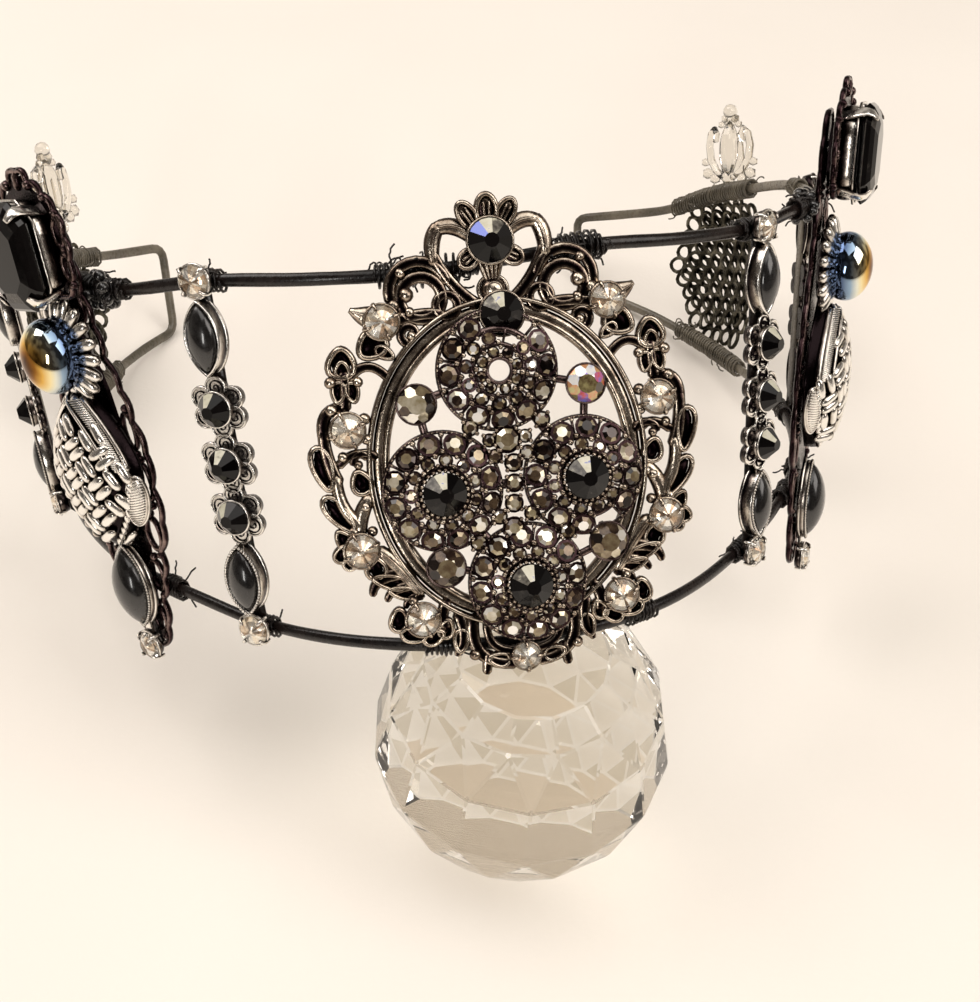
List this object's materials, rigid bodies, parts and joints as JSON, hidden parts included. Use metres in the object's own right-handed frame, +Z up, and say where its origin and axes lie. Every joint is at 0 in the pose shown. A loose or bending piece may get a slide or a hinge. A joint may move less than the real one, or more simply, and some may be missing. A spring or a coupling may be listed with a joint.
{
  "type": "gothic crown on a faceted glass ball stand",
  "caption": "Open-backed wire crown with a pierced jewelled medallion, jewelled bars, woven side ornaments and rear nets, leaning on a faceted glass ball.",
  "frame": {"origin": "on the surface it stands on, under the middle of the whole box", "axes": "+Z up, the crown's front and the ball at -Y, nodes named left lie at -X, on the viewer's left"},
  "size_m": [0.1706, 0.1802, 0.1062],
  "materials": {
    "black_wire": "black coated wire, worn to dull grey on the edges",
    "gunmetal": "antique gunmetal plate over brass, dark in the hollows",
    "silver": "antique silver plate, blackened in the grooves",
    "hematite": "pave of hematite-coloured cut stones in dark metal with milgrain",
    "black_stone": "opaque black cut glass",
    "clear_stone": "clear foiled rhinestone, faceted",
    "peacock": "mirror-coated bead, gold to blue",
    "glass": "clear cut crystal"
  },
  "bodies": {
    "root": {"accent_stone_1": "hematite", "accent_stone_2": "hematite", "accent_stone_3": "hematite", "accent_stone_4": "hematite", "bar_left_clear_1": "clear_stone", "bar_left_clear_2": "clear_stone", "bar_left_navette_1": "black_stone", "bar_left_navette_2": "black_stone", "bar_left_round_1": "black_stone", "bar_left_round_2": "black_stone", "bar_left_round_3": "black_stone", "bar_right_clear_1": "clear_stone", "bar_right_clear_2": "clear_stone", "bar_right_navette_1": "black_stone", "bar_right_navette_2": "black_stone", "bar_right_round_1": "black_stone", "bar_right_round_2": "black_stone", "bar_right_round_3": "black_stone", "border_stone_1": "clear_stone", "border_stone_2": "clear_stone", "border_stone_3": "clear_stone", "border_stone_4": "clear_stone", "border_stone_5": "clear_stone", "border_stone_6": "clear_stone", "border_stone_7": "clear_stone", "border_stone_8": "clear_stone", "border_stone_9": "clear_stone", "finial_stone": "black_stone", "frame_wire": "black_wire", "front_bar_left": "silver", "front_bar_right": "silver", "glass_ball": "glass", "left_backplate": "gunmetal", "left_bead": "peacock", "left_cabochon": "black_stone", "left_cabochon_setting": "silver", "left_clear_stone": "clear_stone", "left_finial": "clear_stone", "left_net": "gunmetal", "left_octagon_setting": "silver", "left_octagon_stone": "black_stone", "left_woven_leaf": "silver", "medallion_filigree": "gunmetal", "rear_bar_left": "silver", "rear_bar_right": "silver", "right_backplate": "gunmetal", "right_bead": "peacock", "right_cabochon": "black_stone", "right_cabochon_setting": "silver", "right_clear_stone": "clear_stone", "right_finial": "clear_stone", "right_net": "gunmetal", "right_octagon_setting": "silver", "right_octagon_stone": "black_stone", "right_woven_leaf": "silver", "rosette_cluster": "hematite", "rosette_stone_1": "black_stone", "rosette_stone_2": "black_stone", "rosette_stone_3": "black_stone", "top_stone": "black_stone"}
  },
  "joints": []
}
